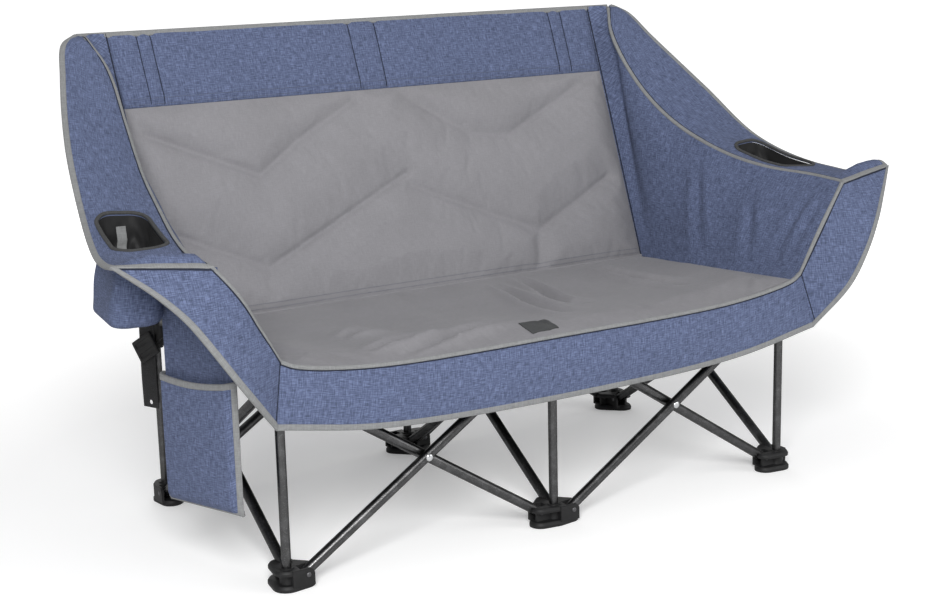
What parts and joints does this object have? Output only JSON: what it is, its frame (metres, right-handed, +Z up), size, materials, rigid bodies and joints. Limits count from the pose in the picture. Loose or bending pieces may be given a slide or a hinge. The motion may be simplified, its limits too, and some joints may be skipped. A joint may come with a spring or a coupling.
{
  "type": "folding camping loveseat",
  "caption": "Folding camping loveseat with padded seat and back, wing arms with cup pouches, side pocket, and a scissor frame of crossed tubes on moulded feet.",
  "frame": {"origin": "on the floor under the middle of the front centre foot", "axes": "+X to the right across the front seen by someone facing the seat, +Y towards the back, +Z up"},
  "size_m": [1.5606, 0.7485, 0.857],
  "materials": {
    "black_steel": "satin black powder coat",
    "bright_steel": "bright",
    "black_plastic": "moulded, fine texture",
    "blue_cloth": "heathered woven polyester",
    "grey_cloth": "padded woven polyester",
    "black_webbing": "woven webbing"
  },
  "bodies": {
    "front_centre_base": {"front_centre_foot": "black_plastic", "front_centre_rod": "black_steel"},
    "left_arm_link": {"front_left_arm_tube": "black_steel", "front_left_rivet": "bright_steel", "left_arm_top": "blue_cloth", "left_arm_inner": "blue_cloth", "left_wing": "blue_cloth", "left_cup_pouch": "blue_cloth", "magazine_pocket": "blue_cloth"},
    "front_left_brace": {"front_left_brace_tube": "black_steel"},
    "front_left_base": {"front_left_foot": "black_plastic", "front_left_rod": "black_steel"},
    "front_left_upper": {"front_left_hub": "black_plastic", "front_left_post": "black_steel"},
    "front_centre_upper": {"front_centre_hub": "black_plastic", "front_centre_post": "black_steel", "front_band": "blue_cloth"},
    "right_arm_link": {"front_right_arm_tube": "black_steel", "front_right_rivet": "bright_steel", "right_arm_top": "blue_cloth", "right_arm_inner": "blue_cloth", "right_wing": "blue_cloth", "right_cup_pouch": "blue_cloth"},
    "front_right_brace": {"front_right_brace_tube": "black_steel"},
    "front_right_base": {"front_right_foot": "black_plastic", "front_right_rod": "black_steel"},
    "front_right_upper": {"front_right_hub": "black_plastic", "front_right_post": "black_steel"},
    "centre_link": {"centre_cross_tube": "black_steel", "centre_rivet": "bright_steel"},
    "centre_brace": {"centre_brace_tube": "black_steel"},
    "rear_centre_base": {"rear_centre_foot": "black_plastic", "rear_centre_rod": "black_steel"},
    "rear_centre_upper": {"rear_centre_hub": "black_plastic", "rear_centre_upright": "black_steel", "back_panel": "grey_cloth"},
    "left_side_link": {"left_side_cross_tube": "black_steel", "left_side_rivet": "bright_steel"},
    "left_side_brace": {"left_side_brace_tube": "black_steel"},
    "rear_left_base": {"rear_left_foot": "black_plastic", "rear_left_rod": "black_steel"},
    "rear_left_upper": {"rear_left_hub": "black_plastic", "rear_left_upright": "black_steel", "carry_strap": "black_webbing", "strap_buckle": "black_plastic"},
    "right_side_link": {"right_side_cross_tube": "black_steel", "right_side_rivet": "bright_steel"},
    "right_side_brace": {"right_side_brace_tube": "black_steel"},
    "rear_right_base": {"rear_right_foot": "black_plastic", "rear_right_rod": "black_steel"},
    "rear_right_upper": {"rear_right_hub": "black_plastic", "rear_right_upright": "black_steel"},
    "rear_left_link": {"rear_left_cross_tube": "black_steel", "rear_left_rivet": "bright_steel"},
    "rear_left_brace": {"rear_left_brace_tube": "black_steel"},
    "rear_right_link": {"rear_right_cross_tube": "black_steel", "rear_right_rivet": "bright_steel"},
    "rear_right_brace": {"rear_right_brace_tube": "black_steel"},
    "seat_front": {"seat_front_half": "grey_cloth"},
    "seat_rear": {"seat_rear_half": "grey_cloth"}
  },
  "joints": [
    {"name": "fold", "type": "hinge", "parent": "front_centre_base", "child": "left_arm_link", "pos_m": [-0.028, 0.0094, 0.024], "axis": [0, 1, 0], "range_deg": [0, 50.9], "deforming": ["seat_front_half", "seat_rear_half", "back_panel", "front_band", "left_arm_top", "left_arm_inner", "left_wing", "left_cup_pouch", "magazine_pocket", "right_arm_top", "right_arm_inner", "right_wing", "right_cup_pouch"]},
    {"name": "front_left_cross", "type": "hinge", "parent": "left_arm_link", "child": "front_left_brace", "pos_m": [-0.26, 0, 0.1745], "axis": [0, 1, 0], "range_deg": [-102.5, 0.2]},
    {"name": "front_left_foot_hinge", "type": "hinge", "parent": "front_left_brace", "child": "front_left_base", "pos_m": [-0.492, -0.0094, 0.024], "axis": [0, 1, 0], "range_deg": [-0.2, 51.6]},
    {"name": "front_left_hub_hinge", "type": "hinge", "parent": "left_arm_link", "child": "front_left_upper", "pos_m": [-0.492, 0.0094, 0.325], "axis": [0, 1, 0], "range_deg": [-51.6, 0.2]},
    {"name": "front_centre_hub_hinge", "type": "hinge", "parent": "front_left_brace", "child": "front_centre_upper", "pos_m": [-0.028, -0.0094, 0.325], "axis": [0, 1, 0], "range_deg": [-0.2, 51.6]},
    {"name": "right_arm_hinge", "type": "hinge", "parent": "front_centre_base", "child": "right_arm_link", "pos_m": [0.028, -0.0094, 0.024], "axis": [0, -1, 0], "range_deg": [-0.2, 51.6]},
    {"name": "front_right_cross", "type": "hinge", "parent": "right_arm_link", "child": "front_right_brace", "pos_m": [0.26, 0, 0.1745], "axis": [0, -1, 0], "range_deg": [-102.5, 0.2]},
    {"name": "front_right_foot_hinge", "type": "hinge", "parent": "front_right_brace", "child": "front_right_base", "pos_m": [0.492, 0.0094, 0.024], "axis": [0, -1, 0], "range_deg": [-0.2, 51.6]},
    {"name": "front_right_hub_hinge", "type": "hinge", "parent": "right_arm_link", "child": "front_right_upper", "pos_m": [0.492, -0.0094, 0.325], "axis": [0, -1, 0], "range_deg": [-51.6, 0.2]},
    {"name": "centre_foot_hinge", "type": "hinge", "parent": "front_centre_base", "child": "centre_link", "pos_m": [0.0094, 0.028, 0.024], "axis": [1, 0, 0], "range_deg": [-0.2, 51.6]},
    {"name": "centre_cross", "type": "hinge", "parent": "centre_link", "child": "centre_brace", "pos_m": [0, 0.26, 0.1745], "axis": [1, 0, 0], "range_deg": [-102.5, 0.2]},
    {"name": "rear_centre_foot_hinge", "type": "hinge", "parent": "centre_brace", "child": "rear_centre_base", "pos_m": [-0.0094, 0.492, 0.024], "axis": [1, 0, 0], "range_deg": [-0.2, 51.6]},
    {"name": "rear_centre_hub_hinge", "type": "hinge", "parent": "centre_link", "child": "rear_centre_upper", "pos_m": [0.0094, 0.492, 0.325], "axis": [1, 0, 0], "range_deg": [-51.6, 0.2]},
    {"name": "left_side_foot_hinge", "type": "hinge", "parent": "front_left_base", "child": "left_side_link", "pos_m": [-0.5106, 0.028, 0.024], "axis": [1, 0, 0], "range_deg": [-0.2, 51.6]},
    {"name": "left_side_cross", "type": "hinge", "parent": "left_side_link", "child": "left_side_brace", "pos_m": [-0.52, 0.26, 0.1745], "axis": [1, 0, 0], "range_deg": [-102.5, 0.2]},
    {"name": "rear_left_foot_hinge", "type": "hinge", "parent": "left_side_brace", "child": "rear_left_base", "pos_m": [-0.5294, 0.492, 0.024], "axis": [1, 0, 0], "range_deg": [-0.2, 51.6]},
    {"name": "rear_left_hub_hinge", "type": "hinge", "parent": "left_side_link", "child": "rear_left_upper", "pos_m": [-0.5106, 0.492, 0.325], "axis": [1, 0, 0], "range_deg": [-51.6, 0.2]},
    {"name": "right_side_foot_hinge", "type": "hinge", "parent": "front_right_base", "child": "right_side_link", "pos_m": [0.5294, 0.028, 0.024], "axis": [1, 0, 0], "range_deg": [-0.2, 51.6]},
    {"name": "right_side_cross", "type": "hinge", "parent": "right_side_link", "child": "right_side_brace", "pos_m": [0.52, 0.26, 0.1745], "axis": [1, 0, 0], "range_deg": [-102.5, 0.2]},
    {"name": "rear_right_foot_hinge", "type": "hinge", "parent": "right_side_brace", "child": "rear_right_base", "pos_m": [0.5106, 0.492, 0.024], "axis": [1, 0, 0], "range_deg": [-0.2, 51.6]},
    {"name": "rear_right_hub_hinge", "type": "hinge", "parent": "right_side_link", "child": "rear_right_upper", "pos_m": [0.5294, 0.492, 0.325], "axis": [1, 0, 0], "range_deg": [-51.6, 0.2]},
    {"name": "rear_left_cross_foot_hinge", "type": "hinge", "parent": "rear_centre_base", "child": "rear_left_link", "pos_m": [-0.028, 0.5294, 0.024], "axis": [0, 1, 0], "range_deg": [-0.2, 51.6]},
    {"name": "rear_left_cross", "type": "hinge", "parent": "rear_left_link", "child": "rear_left_brace", "pos_m": [-0.26, 0.52, 0.1745], "axis": [0, 1, 0], "range_deg": [-102.5, 0.2]},
    {"name": "rear_right_cross_foot_hinge", "type": "hinge", "parent": "rear_centre_base", "child": "rear_right_link", "pos_m": [0.028, 0.5106, 0.024], "axis": [0, -1, 0], "range_deg": [-0.2, 51.6]},
    {"name": "rear_right_cross", "type": "hinge", "parent": "rear_right_link", "child": "rear_right_brace", "pos_m": [0.26, 0.52, 0.1745], "axis": [0, -1, 0], "range_deg": [-102.5, 0.2]},
    {"name": "seat_front_hinge", "type": "hinge", "parent": "front_centre_upper", "child": "seat_front", "pos_m": [0, -0.042, 0.349], "axis": [1, 0, 0], "range_deg": [-0.2, 83.2]},
    {"name": "seat_rear_hinge", "type": "hinge", "parent": "rear_centre_upper", "child": "seat_rear", "pos_m": [0, 0.423, 0.345], "axis": [1, 0, 0], "range_deg": [-83.2, 0.2]}
  ],
  "couplings": [
    {"joint": "front_left_cross", "follows": "fold", "ratio": -2},
    {"joint": "front_left_foot_hinge", "follows": "fold", "ratio": 1},
    {"joint": "front_left_hub_hinge", "follows": "fold", "ratio": -1},
    {"joint": "front_centre_hub_hinge", "follows": "fold", "ratio": 1},
    {"joint": "right_arm_hinge", "follows": "fold", "ratio": 1},
    {"joint": "front_right_cross", "follows": "fold", "ratio": -2},
    {"joint": "front_right_foot_hinge", "follows": "fold", "ratio": 1},
    {"joint": "front_right_hub_hinge", "follows": "fold", "ratio": -1},
    {"joint": "centre_foot_hinge", "follows": "fold", "ratio": 1},
    {"joint": "centre_cross", "follows": "fold", "ratio": -2},
    {"joint": "rear_centre_foot_hinge", "follows": "fold", "ratio": 1},
    {"joint": "rear_centre_hub_hinge", "follows": "fold", "ratio": -1},
    {"joint": "left_side_foot_hinge", "follows": "fold", "ratio": 1},
    {"joint": "left_side_cross", "follows": "fold", "ratio": -2},
    {"joint": "rear_left_foot_hinge", "follows": "fold", "ratio": 1},
    {"joint": "rear_left_hub_hinge", "follows": "fold", "ratio": -1},
    {"joint": "right_side_foot_hinge", "follows": "fold", "ratio": 1},
    {"joint": "right_side_cross", "follows": "fold", "ratio": -2},
    {"joint": "rear_right_foot_hinge", "follows": "fold", "ratio": 1},
    {"joint": "rear_right_hub_hinge", "follows": "fold", "ratio": -1},
    {"joint": "rear_left_cross_foot_hinge", "follows": "fold", "ratio": 1},
    {"joint": "rear_left_cross", "follows": "fold", "ratio": -2},
    {"joint": "rear_right_cross_foot_hinge", "follows": "fold", "ratio": 1},
    {"joint": "rear_right_cross", "follows": "fold", "ratio": -2},
    {"joint": "seat_front_hinge", "follows": "fold", "ratio": 1.6208},
    {"joint": "seat_rear_hinge", "follows": "fold", "ratio": -1.6208}
  ]
}
